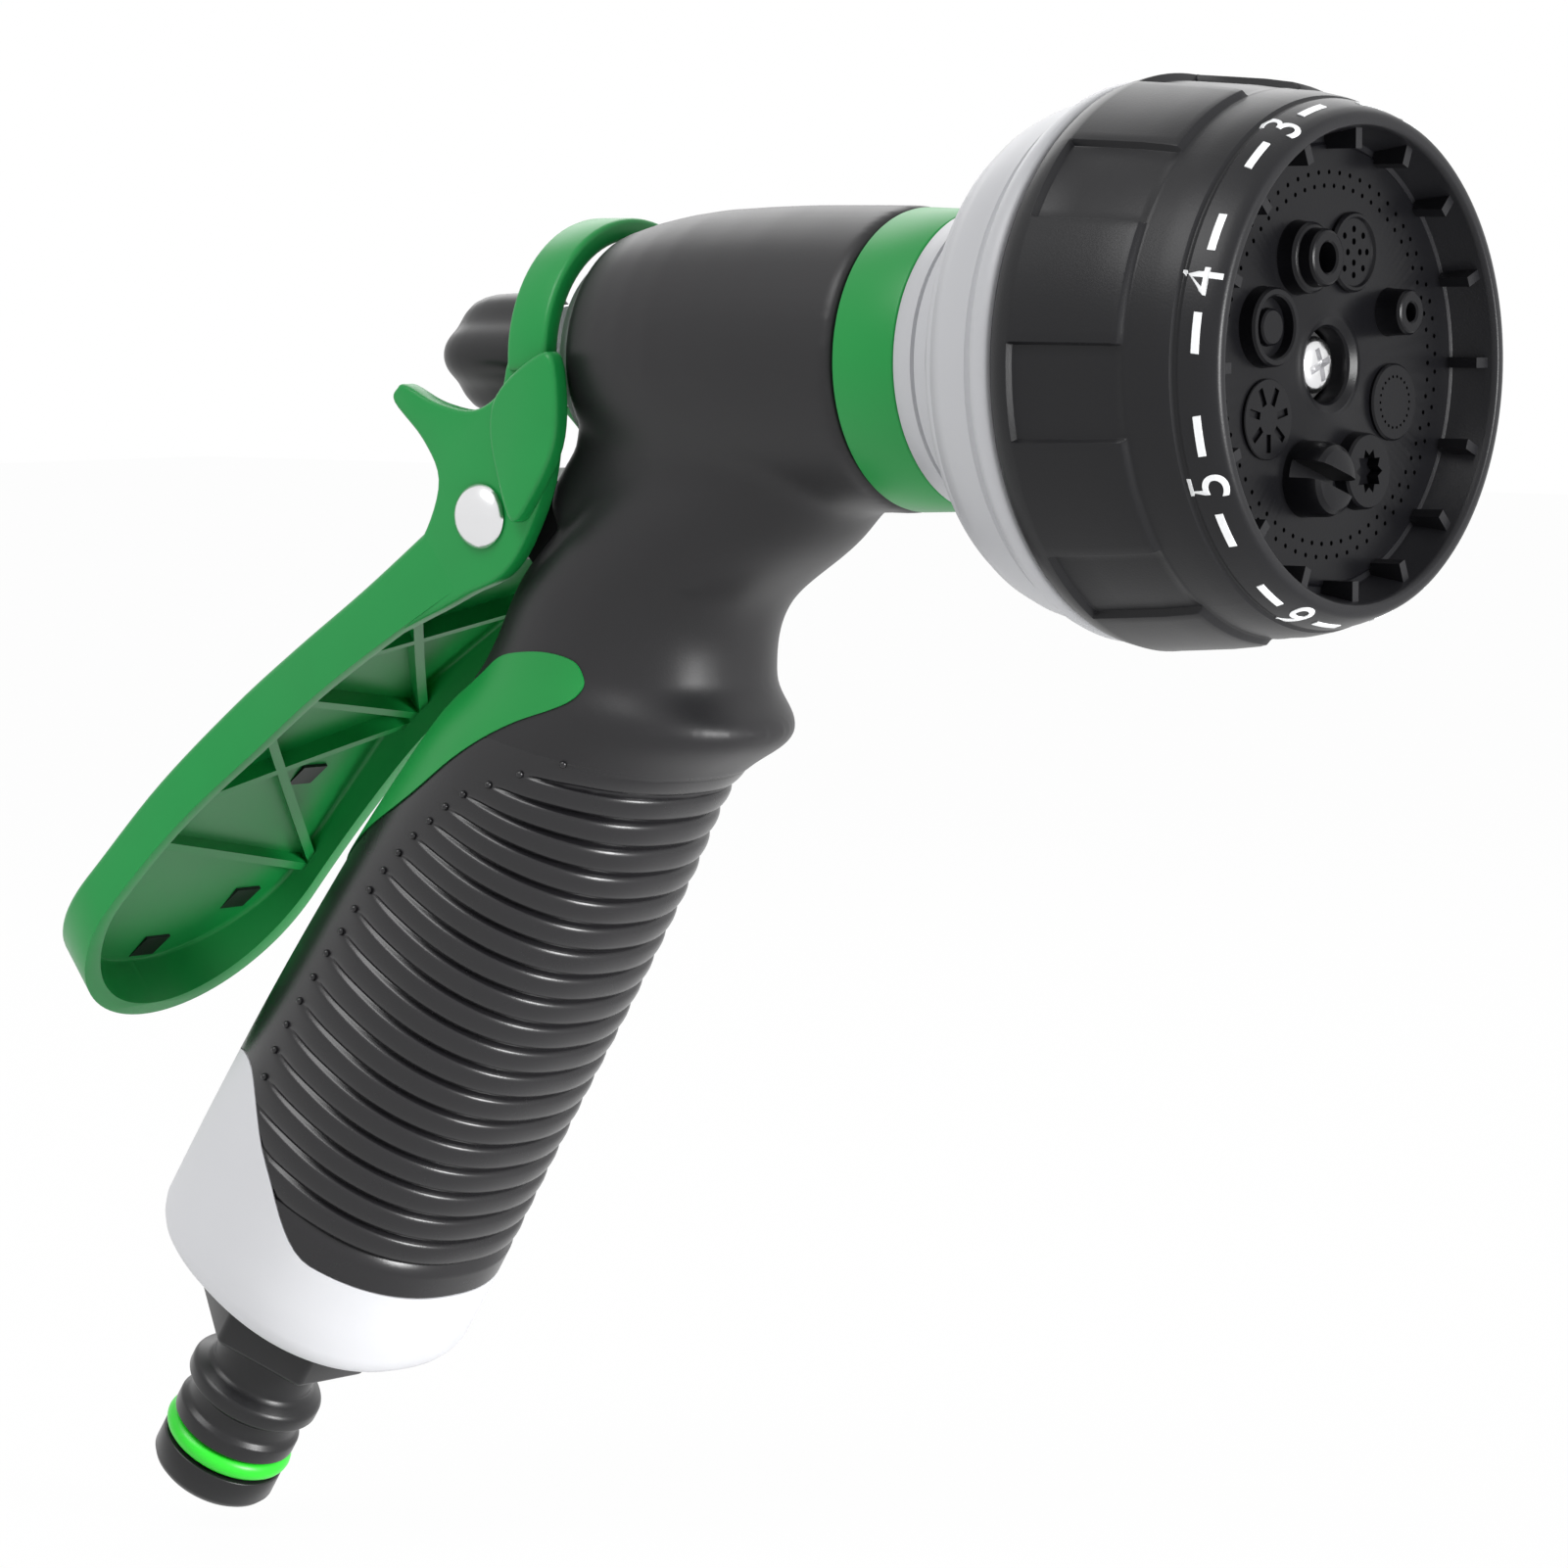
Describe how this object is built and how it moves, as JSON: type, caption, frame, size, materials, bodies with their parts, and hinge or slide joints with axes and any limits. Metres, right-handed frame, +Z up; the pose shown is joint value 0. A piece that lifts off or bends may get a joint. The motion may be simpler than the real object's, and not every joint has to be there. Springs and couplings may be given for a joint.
{
  "type": "hose spray nozzle",
  "caption": "Pistol-grip garden hose nozzle: turning spray dial, rear squeeze trigger working a spring-closed valve, flow knob and quick-connect inlet.",
  "frame": {"origin": "centre of the hose connector's open end", "axes": "+X the spray direction along the barrel, +Z up, Y across the nozzle, whose middle plane is Y = 0"},
  "size_m": [0.1857, 0.0612, 0.1718],
  "materials": {
    "black_plastic": "moulded, satin",
    "black_soft_rubber": "soft-touch overmould",
    "seal_rubber": "smooth",
    "green_plastic": "moulded, semi-gloss",
    "bright_green_rubber": "smooth",
    "light_grey_plastic": "moulded, satin",
    "bright_steel": "polished"
  },
  "bodies": {
    "body": {"core_body": "black_plastic", "grip_overmould": "black_soft_rubber", "handle_collar": "light_grey_plastic", "handle_saddle": "green_plastic", "neck_ring": "green_plastic", "hose_connector": "black_plastic", "connector_o_ring": "bright_green_rubber", "inlet_washer": "seal_rubber", "front_flange": "light_grey_plastic", "flange_seal": "seal_rubber", "port_seal": "seal_rubber", "port_seal_spring": "bright_steel", "click_spring": "bright_steel", "rear_gland": "light_grey_plastic", "stem_seal_front": "seal_rubber", "stem_seal_rear": "seal_rubber", "seal_retainer": "bright_steel", "return_spring": "bright_steel", "pivot_rivet": "bright_steel", "dial_screw": "bright_steel", "dial_washer": "bright_steel"},
    "trigger": {"trigger": "green_plastic", "trigger_pad": "black_soft_rubber"},
    "stem": {"valve_stem": "bright_steel", "valve_poppet": "black_plastic", "poppet_seal": "seal_rubber"},
    "knob_carriage": {"thrust_washer": "bright_steel"},
    "knob": {"flow_knob": "black_plastic"},
    "dial": {"dial_ring": "black_plastic", "spray_plate": "black_plastic", "channel_plate": "black_plastic"},
    "click": {"click_plunger": "bright_steel"}
  },
  "joints": [
    {"name": "trigger_squeeze", "type": "hinge", "parent": "body", "child": "trigger", "pos_m": [0.0595, 0, 0.1194], "axis": [0, -1, 0], "range_deg": [0, 11.5], "stiffness_Nm_per_rad": 0.6, "springref_deg": -22.92},
    {"name": "valve_slide", "type": "slide", "parent": "body", "child": "stem", "axis": [-1, 0, 0], "range_m": [0, 0.004], "deforming": ["return_spring"]},
    {"name": "knob_advance", "type": "slide", "parent": "stem", "child": "knob_carriage", "axis": [-1, 0, 0], "range_m": [0, 0.00104]},
    {"name": "knob_turn", "type": "hinge", "parent": "knob_carriage", "child": "knob", "pos_m": [0.0513, 0, 0.1374], "axis": [-1, 0, 0], "range_deg": [0, 540]},
    {"name": "dial_turn", "type": "hinge", "parent": "body", "child": "dial", "pos_m": [0.1435, 0, 0.1374], "axis": [1, 0, 0], "continuous": true},
    {"name": "click_press", "type": "slide", "parent": "body", "child": "click", "axis": [-1, 0, 0], "range_m": [0, 0.0007], "stiffness_N_per_m": 400, "springref_m": -0.001, "deforming": ["click_spring"]}
  ],
  "couplings": [
    {"joint": "valve_slide", "follows": "trigger_squeeze", "m_per_rad": 0.0182},
    {"joint": "knob_turn", "follows": "knob_advance", "rad_per_m": 9009}
  ]
}
